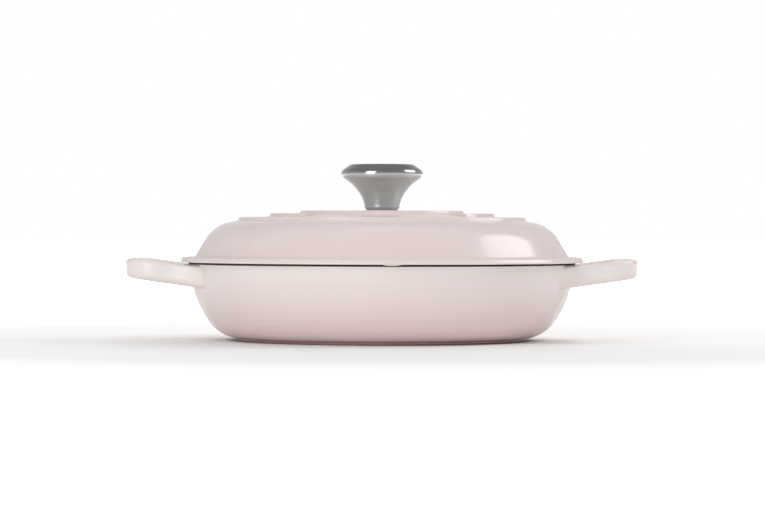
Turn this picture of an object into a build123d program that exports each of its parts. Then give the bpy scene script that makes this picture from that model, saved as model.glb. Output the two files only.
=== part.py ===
from build123d import *
from math import cos, radians, sin, tan
import os

# A shallow round braiser in enamelled cast iron: a pot with two loop handles, a domed lid with stepped
# rings, and a steel knob screwed on from inside the lid. Millimetres and degrees. The upright axis is Z,
# the table is z = 0, the handles lie along X and the front faces -Y.

# Pot
pot_height = 52.05
rim_radius = 130.0
rim_band_height = 1.0
rim_band_round = 0.45
pot_wall = 3.6
rim_lean = 3.8
knee_lean = 36.3
belly_radius = 26.6
foot_inset = 33.0
foot_height = 1.3
foot_width = 7.0
foot_round = 0.7

# Interior enamel, the same coat in the pot and in the lid
coat = 0.4

# Loop handles
handle_length = 40.4
handle_width = 90.0
handle_taper = 1.0
handle_corner = 20.0
handle_root_depth = 6.0
handle_flare = 45.0
handle_bar = 13.5
handle_root_drop = 0.5
handle_root_thickness = 13.65
handle_tip_rise = 4.4
handle_rise = 8.0
handle_bend = 60.0
handle_top_round = 2.8
handle_under_round = 4.4
grip_gap_from_rim = 5.0
grip_gap_corner = 8.0
grip_gap_round = 2.6

# Lid
lid_height = 35.05
lid_overhang = 5.4
lid_turn = 2.8
flange_thickness = 3.45
flange_slope_run = 1.5
flange_edge_height = 1.0
flange_round = 1.4
flange_under_round = 0.5
flange_valley = 2.5
flange_width = 9.4
shoulder_radius = 25.4
shoulder_run = 13.5
shoulder_drop = 9.3
crown_slope = 8.45
crown_thickness = 3.9
lid_wall = 3.6
lip_depth = 4.0
lip_thickness = 3.9
lip_clearance = 1.6
lip_round = 1.2
lip_joint_round = 6.0
lid_band_height = 0.4
lid_band_overhang = 1.0

# Stepped rings on the lid, the middle one open at the front; shares are of the shoulder corner's radius
ceiling_share = 0.391
inner_ring_share = 0.488
middle_ring_share = 0.672
panel_edge_share = 0.7156
outer_ring_share = 0.857
inner_ring_step = 1.9
middle_ring_step = 2.55
ring_run = 1.1
ring_round = 0.7
ring_valley = 1.0
panel_angle = 89.0
boss_height = 0.7
boss_radius = 11.8
boss_slope_run = 1.5

# Nubs under the flange that hold the lid central on the rim
nub_count = 3
nub_width = 13.0
nub_depth = 0.75
nub_thickness = 2.5
nub_edge_margin = 0.9

# Knob
knob_height = 30.6
knob_radius = 27.5
knob_nose_radius = 3.8
knob_nose_drop = 6.5
knob_nose_straight = 0.4
knob_slope = 35.0
knob_top_round = 4.0
knob_flank_radius = 28.0
knob_waist_radius = 11.9
knob_waist_height = 3.0
knob_base_radius = 11.6
knob_base_round = 2.2
knob_wall = 1.5
knob_mouth_radius = 7.0
plate_thickness = 2.0
insert_radius = 5.0
insert_length = 12.0
collar_radius = 7.5
collar_height = 1.5
weld_gap = 0.05

# Screw, washers and their holes
screw_radius = 3.0
screw_length = 18.5
screw_tip_chamfer = 0.6
head_radius = 6.0
head_height = 3.6
head_round = 1.8
drive_width = 1.2
drive_length = 6.4
drive_depth = 1.8
thread_clearance = 0.05
washer_clearance = 0.2
hole_clearance = 0.4
washer_radius = 6.4
washer_thickness = 1.2
spring_washer_radius = 5.4
spring_washer_thickness = 1.4
spring_washer_gap = 1.0
spring_washer_slant = 30.0
pad_radius = 11.0
pad_height = 1.2
pad_round = 0.5

# How far a cutting or clipping shape runs past what it cuts
overrun = 8.0

# Heights worked out from the sizes above
side_top = pot_height - rim_band_height
handle_root_top = side_top - handle_root_drop
handle_tip_top = handle_root_top + handle_tip_rise
handle_root_bottom = handle_root_top - handle_root_thickness
flange_under = pot_height + lid_band_height
flange_top = flange_under + flange_thickness
lid_top = pot_height + lid_height
middle_ring_top = lid_top - inner_ring_step
outer_ring_top = middle_ring_top - middle_ring_step
shoulder_corner = lid_top - shoulder_drop
boss_top = lid_top + boss_height
ceiling = lid_top - crown_thickness
pad_under = ceiling - pad_height
spring_washer_top = pad_under - washer_thickness
head_top = spring_washer_top - spring_washer_thickness

# Radii worked out from the sizes above
foot_radius = rim_radius - foot_inset
handle_reach = rim_radius + handle_length
handle_start = rim_radius - 2 * handle_corner
rim_inner = rim_radius - (pot_wall + coat) / cos(radians(rim_lean))
lip_outer = rim_inner - lip_clearance
lid_radius = rim_radius + lid_overhang
flange_top_radius = lid_radius - flange_width
shoulder_corner_radius = flange_top_radius - shoulder_run
ceiling_radius = ceiling_share * shoulder_corner_radius
inner_ring_radius = inner_ring_share * shoulder_corner_radius
middle_ring_radius = middle_ring_share * shoulder_corner_radius
panel_edge_radius = panel_edge_share * shoulder_corner_radius
outer_ring_radius = outer_ring_share * shoulder_corner_radius


def turned(profile, turn=360):
    """Turn the part of a flat (radius, height) profile right of the axis about the upright axis."""
    right_of_axis = Pos(handle_reach) * Rectangle(2 * handle_reach, 4 * handle_reach)
    return revolve(Plane.XZ * (profile & right_of_axis), Axis.Z, turn)


def outline(points, radii):
    """A closed flat shape through the points, each corner rounded by its radius."""
    return make_face(FilletPolyline(*points, radius=radii, close=True))


def tube(outer, inner, low, high):
    """An upright ring, or a rod where the inner radius is zero."""
    ring = Pos(0, 0, (low + high) / 2) * Cylinder(outer, high - low)
    if inner:
        ring -= Pos(0, 0, (low + high) / 2) * Cylinder(inner, high - low)
    return ring


# Pot


def bowl(depth):
    """The pot's outside, inset by a depth: two tangent arcs from rim to floor, run on past the rim.

    It is turned from the back, so that its seam stays clear of the handles.
    """
    lean = radians(rim_lean)
    knee = radians(knee_lean)
    drop = side_top - foot_height
    wall_radius = (drop - belly_radius * (1 - sin(knee))) / (sin(knee) - sin(lean))
    start = Vector(rim_radius - depth * cos(lean), side_top + depth * sin(lean))
    wall = JernArc(start, (-sin(lean), -cos(lean)), wall_radius - depth, rim_lean - knee_lean)
    belly = JernArc(wall @ 1, wall % 1, belly_radius - depth, knee_lean - 90)
    floor = foot_height + depth
    top = start.Y + overrun
    closing = Polyline(belly @ 1, (0, floor), (0, top), (start.X + overrun * tan(lean), top), start)
    return revolve(Plane.YZ * make_face([wall, belly, closing]), Axis.Z)


def foot():
    """The flat ring that the pot stands on, sunk into the floor's thickness."""
    inner = foot_radius - foot_width
    top = foot_height + pot_wall / 2
    points = [(inner, 0), (foot_radius, 0), (foot_radius, top), (inner, top)]
    return turned(outline(points, (foot_round, foot_round, 0, 0)))


def handle_plan():
    """One handle seen from above: a loop flared on to a circle well inside the pot's wall."""
    root = rim_radius - handle_root_depth
    start = root / 2
    narrowing = tan(radians(handle_taper))
    half_tip = handle_width / 2 - (handle_reach - rim_radius) * narrowing
    half_start = handle_width / 2 + (rim_radius - start) * narrowing
    points = [(start, -half_start), (handle_reach, -half_tip), (handle_reach, half_tip), (start, half_start)]
    plan = outline(points, (0, handle_corner, handle_corner, 0)) + Circle(root)
    flares = plan.vertices().filter_by_position(Axis.X, start, root)
    plan = fillet(flares, handle_flare)
    return plan & Pos(handle_reach) * Rectangle(2 * (handle_reach - handle_start), 2 * rim_radius)


def handle_side():
    """One handle seen from the front: it rises outwards, top and underside alike, and levels off at the tip."""
    start = handle_start - overrun
    end = handle_reach + overrun
    slope = tan(radians(handle_rise))
    points = [
        (start, handle_root_top),
        (rim_radius, handle_root_top),
        (rim_radius + handle_tip_rise / slope, handle_tip_top),
        (end, handle_tip_top),
        (end, handle_root_bottom + slope * (end - rim_radius)),
        (start, handle_root_bottom + slope * (start - rim_radius)),
    ]
    return outline(points, (0, handle_bend, handle_bend, 0, 0, 0))


def grip_gap():
    """The hole through a handle, seen from above: the pot's curve inside, rounded corners outside."""
    inner = rim_radius + grip_gap_from_rim
    outer = handle_reach - handle_bar
    half_width = handle_width / 2 - handle_bar
    blank = Pos((inner + outer) / 2 - overrun) * Rectangle(outer - inner + 2 * overrun, 2 * half_width)
    blank = blank - Circle(inner)
    corners = blank.vertices().filter_by_position(Axis.X, inner / 2, outer)
    return fillet(corners, grip_gap_corner)


def border(faces):
    """The edges round a group of faces, without those between two of them."""
    edges = faces.edges()
    return ShapeList(edge for edge in edges if sum(edge.is_same(other) for other in edges) == 1)


def handle():
    """One handle on the right, rounded all over and cut back to the middle of the pot's wall."""
    loop = extrude(handle_plan(), 2 * pot_height)
    loop = loop & extrude(Plane.XZ * handle_side(), rim_radius, both=True)
    for facing, radius in ((1, handle_top_round), (-1, handle_under_round)):
        faces = loop.faces().filter_by(lambda face: facing * face.normal_at().Z > 0.5)
        outer = border(faces).filter_by_position(Axis.X, handle_start + overrun / 2, handle_reach + overrun)
        loop = fillet(outer, radius)
    hole = extrude(grip_gap(), 2 * pot_height)
    loop = loop - hole
    room = hole.bounding_box()
    inner = loop.edges().filter_by(Axis.Z, reverse=True)
    inner = inner.filter_by_position(Axis.X, room.min.X, room.max.X)
    inner = inner.filter_by_position(Axis.Y, room.min.Y, room.max.Y)
    loop = fillet(inner, grip_gap_round)
    return loop - bowl(pot_wall / 2)


def pot_casting():
    """The pot with its foot and both handles, one casting."""
    body = (bowl(0) - bowl(pot_wall)) & tube(handle_reach, 0, 0, side_top)
    right = handle()
    return body + foot() + right + mirror(right, Plane.YZ)


def pot_interior_enamel():
    """The coat on the pot's inside."""
    return (bowl(pot_wall) - bowl(pot_wall + coat)) & tube(handle_reach, 0, 0, side_top)


def pot_rim_enamel():
    """The dark band on top of the pot's rim, which the lid sits on."""
    corners = [(rim_inner, side_top), (rim_radius, side_top), (rim_radius, pot_height), (rim_inner, pot_height)]
    return turned(outline(corners, (0, 0, rim_band_round, rim_band_round)))


# Lid


def lid_outside_profile():
    """The lid's outside from the knob boss to the flange, filled down to the flange's underside."""
    half_run = ring_run / 2
    slope = tan(radians(crown_slope))
    skirt = outer_ring_radius + half_run
    skirt_top = shoulder_corner + (shoulder_corner_radius - skirt) * slope
    points = [
        (0, boss_top),
        (boss_radius - boss_slope_run, boss_top),
        (boss_radius, lid_top),
        (inner_ring_radius - half_run, lid_top),
        (inner_ring_radius + half_run, middle_ring_top),
        (panel_edge_radius, outer_ring_top),
        (outer_ring_radius - half_run, outer_ring_top),
        (skirt, skirt_top),
        (shoulder_corner_radius, shoulder_corner),
        (flange_top_radius, flange_top),
        (lid_radius - flange_slope_run, flange_top),
        (lid_radius, flange_under + flange_edge_height),
        (lid_radius, flange_under),
        (0, flange_under),
    ]
    rings = (0, 0, ring_round, ring_valley, 0, ring_round, ring_valley)
    rest = (shoulder_radius, flange_valley, flange_round, flange_under_round, flange_under_round)
    return outline(points, (0, *rings, *rest, 0))


def middle_ring():
    """The middle ring's raised terrace, left out at the front over the panel's angle."""
    half_run = ring_run / 2
    inner = inner_ring_radius + half_run
    root = outer_ring_top - lid_wall / 2
    points = [
        (inner, root),
        (inner, middle_ring_top),
        (middle_ring_radius - half_run, middle_ring_top),
        (middle_ring_radius + half_run, outer_ring_top),
        (middle_ring_radius + half_run, root),
    ]
    terrace = turned(outline(points, (0, 0, ring_round, 0, 0)), 360 - panel_angle)
    return Rot(0, 0, panel_angle / 2 - 90) * terrace


def inset(points, depth):
    """Move every side of a closed outline, drawn anticlockwise, inwards by a depth."""
    moved = []
    for index, corner in enumerate(points):
        arriving = (Vector(corner) - Vector(points[index - 1])).normalized()
        leaving = (Vector(points[(index + 1) % len(points)]) - Vector(corner)).normalized()
        inwards = Vector(-arriving.Y - leaving.Y, arriving.X + leaving.X)
        moved.append(Vector(corner) + inwards * depth / (1 + arriving.dot(leaving)))
    return moved


def lid_hollow(depth):
    """The space under the lid inside its lip and round its screw pad, inset by a depth."""
    low = flange_under - lip_depth - overrun
    skirt = (0, shoulder_corner + shoulder_corner_radius * tan(radians(crown_slope)))
    outside = [(0, low), (flange_top_radius, flange_top), (shoulder_corner_radius, shoulder_corner), skirt]
    shoulder = inset(outside, lid_wall)[2]
    wall_slope = (shoulder_corner - flange_top) / (flange_top_radius - shoulder_corner_radius)
    lip_joint = shoulder.Y - (lip_outer - lip_thickness - shoulder.X) * wall_slope
    points = [
        (-overrun, low),
        (lip_outer - lip_thickness, low),
        (lip_outer - lip_thickness, lip_joint),
        shoulder,
        (ceiling_radius, ceiling),
        (pad_radius, ceiling),
        (pad_radius, pad_under),
        (-overrun, pad_under),
    ]
    radii = (
        0,
        0,
        lip_joint_round + depth,
        shoulder_radius - lid_wall - depth,
        ceiling_radius - depth,
        pad_round - depth,
        pad_round + depth,
        0,
    )
    return turned(outline(inset(points, depth), radii))


def lip():
    """The ring under the lid that drops inside the pot's rim."""
    low = flange_under - lip_depth
    high = flange_under + flange_thickness / 2
    inner = lip_outer - lip_thickness
    points = [(inner, low), (lip_outer, low), (lip_outer, high), (inner, high)]
    return turned(outline(points, (lip_round, lip_round, 0, 0)))


def nubs():
    """Low rounded bumps under the flange, just outside the pot's rim."""
    bulge = ((nub_width / 2) ** 2 + nub_depth**2) / (2 * nub_depth)
    outer = lid_radius - nub_edge_margin
    disc = Pos(0, 0, flange_under - nub_depth + bulge) * Rot(90, 0, 0) * Cylinder(bulge, nub_thickness)
    room = Pos(0, 0, flange_under) * Box(nub_width, nub_thickness, 2 * nub_depth)
    nub = Pos(0, nub_thickness / 2 - outer) * (disc & room)
    return [Rot(0, 0, index * 360 / nub_count) * nub for index in range(nub_count)]


def lid_casting():
    """The lid with its rings, boss, flange, lip and nubs, one casting, turned a little from the front."""
    hole = tube(screw_radius + hole_clearance, 0, pot_height, boss_top + overrun)
    body = turned(lid_outside_profile()) + middle_ring() + lip() - lid_hollow(0) - hole
    return Rot(0, 0, lid_turn) * (body + nubs())


def lid_interior_enamel():
    """The coat under the lid, with a hole round the screw's washer."""
    room = tube(handle_reach, washer_radius + washer_clearance, flange_under - lip_depth + lip_round, lid_top)
    return (lid_hollow(0) - lid_hollow(coat)) & room


def lid_rim_enamel():
    """The dark band under the flange where the lid sits on the pot."""
    return tube(rim_radius + lid_band_overhang, lip_outer, pot_height, flange_under)


# Knob, with heights from the boss that it stands on


def knob_form(depth, low):
    """The knob's outside, inset by a depth, with its underside at a height."""
    slope = radians(knob_slope)
    nose = boss_top + knob_height - knob_nose_drop
    apex = knob_radius - knob_nose_radius + (knob_nose_radius - depth) / sin(slope)
    top = boss_top + knob_height - depth
    drop = knob_nose_radius * cos(slope) + knob_nose_straight
    under = Vector(apex - drop / tan(slope), nose - drop)
    waist = Vector(knob_waist_radius - depth, boss_top + knob_waist_height)
    crown = FilletPolyline(
        (0, top),
        (apex - (top - nose) / tan(slope), top),
        (apex, nose),
        under,
        radius=(knob_top_round, knob_nose_radius - depth),
    )
    flank = RadiusArc(under, waist, -knob_flank_radius - depth)
    base = FilletPolyline(waist, (knob_base_radius - depth, low), (0, low), radius=knob_base_round - depth)
    axis = Line((0, low), (0, top))
    return revolve(Plane.XZ * make_face([crown, flank, base, axis]), Axis.Z)


def knob_shell():
    """The hollow steel knob, rolled in under its waist round the base plate's hole."""
    mouth = tube(knob_mouth_radius, 0, boss_top - overrun, boss_top + 2 * knob_wall)
    return knob_form(0, boss_top) - knob_form(knob_wall, boss_top + knob_wall) - mouth


def knob_base_plate():
    """The plate inside the knob's waist that holds the threaded bush, rounded below to clear the corner."""
    low = boss_top + knob_wall
    high = low + plate_thickness
    inner = insert_radius + weld_gap
    outer = knob_base_radius - knob_wall - weld_gap
    corner = knob_base_round - knob_wall + weld_gap
    return turned(outline([(inner, low), (outer, low), (outer, high), (inner, high)], (0, corner, 0, 0)))


def knob_insert():
    """The threaded bush of the knob, its thread drawn as a plain bore, with a collar on the base plate."""
    seat = boss_top + knob_wall + plate_thickness
    bore = screw_radius + thread_clearance
    body = tube(insert_radius, bore, boss_top, boss_top + insert_length)
    return body + tube(collar_radius, bore, seat, seat + collar_height)


# Screw and washers, on the lid's pad


def knob_screw():
    """The screw that holds the knob: a round head with a cross drive, its thread drawn as a plain shank."""
    low = head_top - head_height
    tip = head_top + screw_length
    points = [
        (0, low),
        (head_radius, low),
        (head_radius, head_top),
        (screw_radius, head_top),
        (screw_radius, tip - screw_tip_chamfer),
        (screw_radius - screw_tip_chamfer, tip),
        (0, tip),
    ]
    screw = turned(outline(points, (0, head_round, 0, 0, 0, 0, 0)))
    for angle in (0, 90):
        screw -= Pos(0, 0, low) * Rot(0, 0, angle) * Box(drive_length, drive_width, 2 * drive_depth)
    return screw


def screw_washer():
    """The flat washer against the lid's pad."""
    return tube(washer_radius, screw_radius + washer_clearance, spring_washer_top, pad_under)


def spring_washer():
    """The split washer between the flat washer and the screw's head, pressed flat."""
    ring = tube(spring_washer_radius, screw_radius + washer_clearance, head_top, spring_washer_top)
    split = Rot(spring_washer_slant, 0, 0) * Box(2 * spring_washer_radius, spring_washer_gap, overrun)
    middle = (head_top + spring_washer_top) / 2
    return ring - Pos(spring_washer_radius, 0, middle) * split


PARTS = (
    pot_casting,
    pot_interior_enamel,
    pot_rim_enamel,
    lid_casting,
    lid_interior_enamel,
    lid_rim_enamel,
    knob_shell,
    knob_base_plate,
    knob_insert,
    knob_screw,
    screw_washer,
    spring_washer,
)

os.makedirs("parts", exist_ok=True)
for part in PARTS:
    export_step(part(), f"parts/{part.__name__}.step")
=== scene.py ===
import bpy
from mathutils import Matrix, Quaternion, Vector

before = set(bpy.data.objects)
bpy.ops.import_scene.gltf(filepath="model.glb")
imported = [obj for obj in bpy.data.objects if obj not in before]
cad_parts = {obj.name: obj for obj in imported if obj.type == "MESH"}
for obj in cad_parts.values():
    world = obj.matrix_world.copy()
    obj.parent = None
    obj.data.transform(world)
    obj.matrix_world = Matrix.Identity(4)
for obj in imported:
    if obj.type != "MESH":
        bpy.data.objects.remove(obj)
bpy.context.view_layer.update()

# Camera: almost level, in front of the pot, at the photograph's viewing angle
CAMERA_PLACE = (0.0004, -2.2, 0.079)
CAMERA_AIM = (0.0004, 0.0, 0.0573)
CAMERA_LENS = 153.7
CAMERA_ROLL = 0.0023
SENSOR_WIDTH = 36.0

# Height of the edge between the knob's brushed flank and its polished crown, and half the blend between them
CROWN_EDGE = 0.1112
CROWN_BLEND = 0.0004

# Noise scales, in features a metre
CLOUDS = 26.0
GLOSS_PATCHES = 60.0
SKIN_WAVES = 170.0
MATT_PATCHES = 300.0
BRUSHING = 420.0
TOOL_MARKS = 900.0
SKIN_GRAIN = 1100.0
SPECKS = 1500.0
MATT_GRAIN = 1600.0

# Bump depths, in metres
WAVE_DEPTH = 0.0002
GRAIN_DEPTH = 0.00006
MATT_DEPTH = 0.00008
BRUSH_DEPTH = 0.00004
MARK_DEPTH = 0.00003

# Floor: a hair under the pot's foot, so that the two faces do not share a plane, and turning white further out
FLOOR_LEVEL = -0.0001
FLOOR_SIZE = 30.0
FLOOR_WHITE_FROM = 0.35
FLOOR_WHITE_AT = 1.2
PAPER = (0.86, 0.855, 0.85, 1.0)

# Strengths of the surround: as light, and in reflections behind the pot, low in the room and high in it
SURROUND = 0.44
ROOM_GLOW = 0.7
ROOM_LOW = 0.6
ROOM_HIGH = 0.3
WHITE = (1.0, 1.0, 1.0, 1.0)

# Where these change: how far a direction points away from the camera, and how far up
GLOW_SPAN = (0.7, 1.0)
ROOM_SPAN = (0.1, 0.7)

# Lamps that face the pot: shape, place, width and height in metres, and watts
LAMP_AIM = (0.0, 0.0, 0.06)
SOFTBOXES = {
    "key": ("ELLIPSE", (1.76, 0.4, 1.36), 1.4, 1.3, 15.5),
    "fill": ("RECTANGLE", (-0.95, -1.4, 0.72), 0.85, 1.5, 10.5),
}
UNSEEN_LAMPS = {
    "front": ("RECTANGLE", (0.3, -2.8, 0.3), 2.4, 0.5, 15.0),
    "top": ("RECTANGLE", (-0.2, 0.6, 2.2), 2.4, 1.6, 13.0),
    "horizon": ("RECTANGLE", (0.0, 1.9, 0.66), 2.6, 0.6, 26.0),
}


def linear(red, green, blue):
    """A colour given in the photograph's 0 to 255 values, as the linear colour that shaders take."""
    values = []
    for part in (red, green, blue):
        share = part / 255
        values.append(share / 12.92 if share <= 0.04045 else ((share + 0.055) / 1.055) ** 2.4)
    return (*values, 1.0)


# The pot's enamel fades from off-white at the rim to pink at the foot; its two lowest stops are painted shade,
# dark at the foot's edge, and the stop above them is painted light, lighter against the shade near the foot.
# The lid's is a little paler at its edge, a painted highlight. Each stop is a height in metres and a colour.
POT_FADE_WITH_PAINTED_LIGHT_AND_SHADE = (
    # Painted shade: the two lowest stops darken the foot's edge
    (0.0, linear(160, 118, 115)),
    (0.0016, linear(180, 142, 139)),
    # Painted light: this stop is lightened against the shade near the foot
    (0.0032, linear(233, 213, 211)),
    (0.013, linear(231, 214, 212)),
    (0.030, linear(230, 217, 215)),
    (0.042, linear(229, 220, 217)),
    (0.056, linear(229, 222, 219)),
)
LID_FADE_WITH_PAINTED_HIGHLIGHT = (
    # Painted highlight: the lowest stop makes the lid's edge paler
    (0.052, linear(228, 217, 214)),
    (0.057, linear(226, 212, 210)),
    (0.070, linear(226, 212, 210)),
    (0.088, linear(226, 213, 211)),
)
INSIDE_FADE = ((0.0, linear(226, 218, 202)), (0.09, linear(226, 218, 202)))

# Colours of the clouds and specks in the enamels, and the darker and lighter colours of the rest
PINK_SPECKS = linear(206, 176, 173)
SAND_SPECKS = linear(196, 184, 164)
DARK_ENAMEL = (linear(44, 32, 32), linear(70, 54, 53))
FLANK_STEEL = (linear(180, 186, 185), linear(192, 198, 197))
CROWN_STEEL = linear(182, 182, 181)
FIXING_STEEL = (linear(176, 176, 178), linear(200, 200, 202))


class Nodes:
    """The node tree of a material or world, with short calls to add and join nodes."""

    def __init__(self, owner):
        owner.use_nodes = True
        self.owner = owner
        self.tree = owner.node_tree
        self.tree.nodes.clear()
        self.coordinates = self.add("ShaderNodeTexCoord")
        self.place = self.coordinates.outputs["Object"]

    def put(self, value, socket):
        """Give a socket a value, or link another node's output to it."""
        if isinstance(value, bpy.types.NodeSocket):
            self.tree.links.new(value, socket)
        else:
            socket.default_value = value

    def add(self, kind, **settings):
        """A new node, its sockets and settings given by name."""
        node = self.tree.nodes.new(kind)
        for key, value in settings.items():
            socket = node.inputs.get(key.replace("_", " "))
            if socket is None:
                setattr(node, key, value)
            else:
                self.put(value, socket)
        return node

    def height(self):
        """Height above the table, in metres."""
        return self.add("ShaderNodeSeparateXYZ", Vector=self.place).outputs["Z"]

    def noise(self, scale, detail=3.0, stretch=(1.0, 1.0, 1.0)):
        """Noise in object space, its scale in features a metre."""
        mapping = self.add("ShaderNodeMapping", Vector=self.place, Scale=stretch)
        noise = self.add("ShaderNodeTexNoise", Vector=mapping.outputs["Vector"], Scale=scale, Detail=detail)
        return noise.outputs["Fac"]

    def ramp(self, value, low, high, start, end):
        """Map a value between two limits to a value between two others, held at the ends."""
        node = self.add("ShaderNodeMapRange", Value=value)
        for name, number in zip(("From Min", "From Max", "To Min", "To Max"), (low, high, start, end)):
            self.put(number, node.inputs[name])
        return node.outputs["Result"]

    def spread(self, noise, start, end):
        """Map the range in which most of a noise lies to two values."""
        return self.ramp(noise, 0.3, 0.7, start, end)

    def math(self, operation, first, second):
        """The result of a math operation on two values."""
        node = self.add("ShaderNodeMath", operation=operation)
        self.put(first, node.inputs[0])
        self.put(second, node.inputs[1])
        return node.outputs["Value"]

    def fade(self, stops):
        """A colour that changes with height, given as (height, colour) stops."""
        low, high = stops[0][0], stops[-1][0]
        node = self.add("ShaderNodeValToRGB")
        self.put(self.ramp(self.height(), low, high, 0.0, 1.0), node.inputs["Fac"])
        elements = node.color_ramp.elements
        while len(elements) < len(stops):
            elements.new(0.5)
        for element, (height, colour) in zip(elements, stops):
            element.position = (height - low) / (high - low)
            element.color = colour
        return node.outputs["Color"]

    def mix(self, kind, sockets, share, first, second):
        """A mix node of one kind: its two inputs and its output are given by their numbers."""
        node = self.add("ShaderNodeMix", data_type=kind)
        self.put(share, node.inputs[0])
        self.put(first, node.inputs[sockets[0]])
        self.put(second, node.inputs[sockets[1]])
        return node.outputs[sockets[2]]

    def blend(self, share, first, second):
        """Mix two colours, each a value or another node's output."""
        return self.mix("RGBA", (6, 7, 2), share, first, second)

    def between(self, share, first, second):
        """Mix two numbers, each a value or another node's output."""
        return self.mix("FLOAT", (2, 3, 0), share, first, second)

    def bump(self, height, strength, distance, before=None):
        """A bump from a height, its distance in metres, on top of another bump if one is given."""
        node = self.add("ShaderNodeBump", Height=height, Strength=strength, Distance=distance)
        if before is not None:
            self.put(before, node.inputs["Normal"])
        return node.outputs["Normal"]

    def end(self, kind, shader):
        """Send a shader to an output node, which finishes the material or world."""
        self.put(shader, self.add(kind).inputs["Surface"])
        return self.owner

    def finish(self, **settings):
        """The surface shader and the finished material."""
        shader = self.add("ShaderNodeBsdfPrincipled", **settings)
        return self.end("ShaderNodeOutputMaterial", shader.outputs["BSDF"])


def surface(name):
    """The empty node tree of a new material."""
    return Nodes(bpy.data.materials.new(name))


def gloss_enamel(name, stops, speck, share):
    """Glassy enamel on iron: a colour that fades with height, with the painted light that the given stops
    hold, faint cloudiness and specks, a wavy skin.
    """
    nodes = surface(name)
    cloud = nodes.spread(nodes.noise(CLOUDS), 0.0, 0.1)
    tint = nodes.blend(cloud, nodes.fade(stops), speck)
    specks = nodes.ramp(nodes.noise(SPECKS, 1.0), 0.64, 0.74, 0.0, share)
    tint = nodes.blend(specks, tint, speck)
    wave = nodes.bump(nodes.noise(SKIN_WAVES, 2.0), 0.05, WAVE_DEPTH)
    skin = nodes.bump(nodes.noise(SKIN_GRAIN, 2.0), 0.05, GRAIN_DEPTH, wave)
    gloss = nodes.spread(nodes.noise(GLOSS_PATCHES), 0.17, 0.23)
    return nodes.finish(
        Base_Color=tint, Roughness=gloss, IOR=1.5, Coat_Weight=0.2, Coat_Roughness=0.08, Normal=skin
    )


def matt_enamel():
    """The dark, slightly grainy enamel where lid and pot meet."""
    nodes = surface("dark_enamel")
    grain = nodes.noise(MATT_GRAIN, 4.0)
    tint = nodes.blend(nodes.ramp(grain, 0.35, 0.75, 0.0, 1.0), *DARK_ENAMEL)
    gloss = nodes.spread(nodes.noise(MATT_PATCHES), 0.48, 0.66)
    return nodes.finish(Base_Color=tint, Roughness=gloss, Normal=nodes.bump(grain, 0.25, MATT_DEPTH))


def knob_steel():
    """Stainless steel, brushed round the flank and polished on the crown."""
    nodes = surface("knob_steel")
    polished = nodes.ramp(nodes.height(), CROWN_EDGE - CROWN_BLEND, CROWN_EDGE + CROWN_BLEND, 0.0, 1.0)
    brushing = nodes.noise(BRUSHING, 4.0, (0.06, 0.06, 9.0))
    gloss = nodes.between(polished, nodes.spread(brushing, 0.3, 0.4), 0.1)
    lines = nodes.bump(brushing, nodes.ramp(polished, 0.0, 1.0, 0.12, 0.0), BRUSH_DEPTH)
    metal = nodes.ramp(polished, 0.0, 1.0, 0.8, 1.0)
    flank = nodes.blend(nodes.spread(brushing, 0.0, 1.0), *FLANK_STEEL)
    round_axis = nodes.add("ShaderNodeTangent", direction_type="RADIAL", axis="Z")
    return nodes.finish(
        Base_Color=nodes.blend(polished, flank, CROWN_STEEL),
        Metallic=metal,
        Roughness=gloss,
        Anisotropic=0.75,
        Anisotropic_Rotation=0.25,
        Tangent=round_axis.outputs["Tangent"],
        Normal=lines,
    )


def fixing_steel():
    """Plain bright steel with faint tool marks."""
    nodes = surface("fixing_steel")
    marks = nodes.noise(TOOL_MARKS, 3.0, (1.0, 1.0, 3.0))
    tint = nodes.blend(marks, *FIXING_STEEL)
    gloss = nodes.spread(marks, 0.24, 0.38)
    return nodes.finish(
        Base_Color=tint, Metallic=1.0, Roughness=gloss, Normal=nodes.bump(marks, 0.1, MARK_DEPTH)
    )


def dress():
    """Give every CAD node its finish."""
    coat = gloss_enamel("sand_enamel", INSIDE_FADE, SAND_SPECKS, 0.5)
    band = matt_enamel()
    steel = fixing_steel()
    finishes = {
        "pot_casting": gloss_enamel("pot_pink_enamel_with_painted_shade", POT_FADE_WITH_PAINTED_LIGHT_AND_SHADE, PINK_SPECKS, 0.12),
        "lid_casting": gloss_enamel("lid_pink_enamel_with_painted_highlight", LID_FADE_WITH_PAINTED_HIGHLIGHT, PINK_SPECKS, 0.12),
        "pot_interior_enamel": coat,
        "lid_interior_enamel": coat,
        "pot_rim_enamel": band,
        "lid_rim_enamel": band,
        "knob_shell": knob_steel(),
    }
    for name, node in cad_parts.items():
        node.data.materials.clear()
        node.data.materials.append(finishes.get(name, steel))


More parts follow.
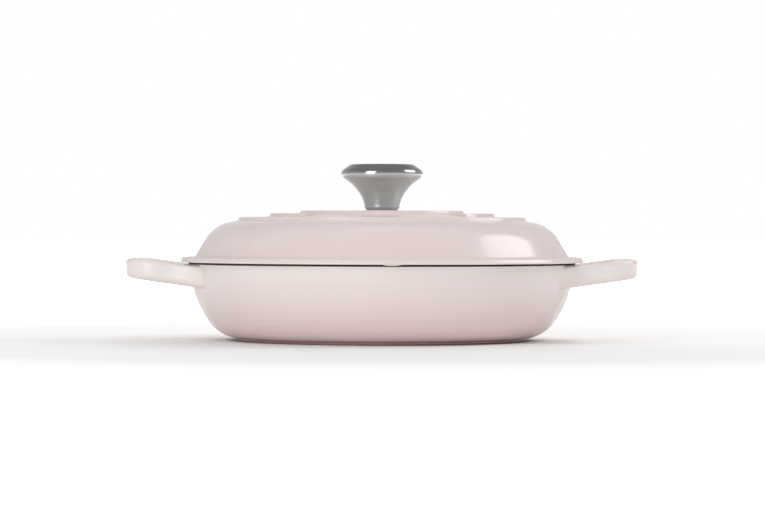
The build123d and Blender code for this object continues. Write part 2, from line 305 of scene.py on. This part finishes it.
def paper():
    """Pale paper, clear from below, that looks white further out but does not light the pot."""
    nodes = surface("studio_floor")
    path = nodes.add("ShaderNodeLightPath").outputs
    mirrored = nodes.ramp(path["Is Glossy Ray"], 0.0, 1.0, 0.0, ROOM_GLOW)
    seen = nodes.math("MAXIMUM", path["Is Camera Ray"], mirrored)
    seen = nodes.math("MAXIMUM", seen, path["Is Transmission Ray"])
    away = nodes.add("ShaderNodeVectorMath", operation="LENGTH")
    nodes.put(nodes.place, away.inputs[0])
    lift = nodes.ramp(away.outputs["Value"], FLOOR_WHITE_FROM, FLOOR_WHITE_AT, 0.0, 1.0)
    glow = nodes.add("ShaderNodeEmission", Strength=nodes.math("MULTIPLY", seen, lift))
    both = nodes.add("ShaderNodeAddShader")
    nodes.put(nodes.add("ShaderNodeBsdfDiffuse", Color=PAPER).outputs["BSDF"], both.inputs[0])
    nodes.put(glow.outputs["Emission"], both.inputs[1])
    below = nodes.add("ShaderNodeNewGeometry").outputs["Backfacing"]
    clear = nodes.add("ShaderNodeMixShader", Fac=below)
    nodes.put(both.outputs["Shader"], clear.inputs[1])
    nodes.put(nodes.add("ShaderNodeBsdfTransparent").outputs["BSDF"], clear.inputs[2])
    return nodes.end("ShaderNodeOutputMaterial", clear.outputs["Shader"])


def floor():
    """The plain floor, which keeps the pot's shadow."""
    bpy.ops.mesh.primitive_plane_add(size=FLOOR_SIZE, location=(0.0, 0.0, FLOOR_LEVEL))
    plane = bpy.context.object
    plane.name = "studio_floor"
    plane.data.materials.append(paper())


def softbox(name, shape, place, width, height, power):
    """A soft lamp that faces the pot."""
    lamp = bpy.data.lights.new(name, "AREA")
    lamp.shape = shape
    lamp.size = width
    lamp.size_y = height
    lamp.energy = power
    obj = bpy.data.objects.new(name, lamp)
    bpy.context.scene.collection.objects.link(obj)
    obj.location = place
    obj.rotation_euler = (Vector(LAMP_AIM) - Vector(place)).to_track_quat("-Z", "Y").to_euler()
    return obj


def lights():
    """Softboxes right and front left, and soft lamps in front, above and low behind."""
    for name, values in SOFTBOXES.items():
        softbox(name, *values)
    for name, values in UNSEEN_LAMPS.items():
        lamp = softbox(name, *values)
        lamp.visible_glossy = False
        lamp.visible_camera = False


def surround():
    """A white background to the camera, and in reflections its glow and a room that is dimmer high up."""
    world = bpy.data.worlds.new("studio")
    bpy.context.scene.world = world
    nodes = Nodes(world)
    towards = nodes.add("ShaderNodeSeparateXYZ", Vector=nodes.coordinates.outputs["Generated"]).outputs
    path = nodes.add("ShaderNodeLightPath").outputs
    glow = nodes.ramp(towards["Y"], *GLOW_SPAN, 0.0, ROOM_GLOW)
    room = nodes.ramp(towards["Z"], *ROOM_SPAN, ROOM_LOW, ROOM_HIGH)
    reflected = nodes.math("MAXIMUM", glow, room)
    direct = nodes.math("MAXIMUM", path["Is Camera Ray"], path["Is Transmission Ray"])
    mirrored = nodes.ramp(path["Is Glossy Ray"], 0.0, 1.0, SURROUND, reflected)
    strength = nodes.ramp(direct, 0.0, 1.0, mirrored, 1.0)
    backdrop = nodes.add("ShaderNodeBackground", Color=WHITE, Strength=strength)
    nodes.end("ShaderNodeOutputWorld", backdrop.outputs["Background"])


def camera():
    """The camera at the photograph's viewing angle."""
    data = bpy.data.cameras.new("camera")
    data.sensor_width = SENSOR_WIDTH
    data.lens = CAMERA_LENS
    obj = bpy.data.objects.new("camera", data)
    bpy.context.scene.collection.objects.link(obj)
    obj.location = CAMERA_PLACE
    level = (Vector(CAMERA_AIM) - Vector(CAMERA_PLACE)).to_track_quat("-Z", "Y")
    obj.rotation_euler = (level @ Quaternion((0.0, 0.0, 1.0), CAMERA_ROLL)).to_euler()
    bpy.context.scene.camera = obj


dress()
floor()
lights()
surround()
camera()
bpy.context.scene.view_settings.view_transform = "Standard"
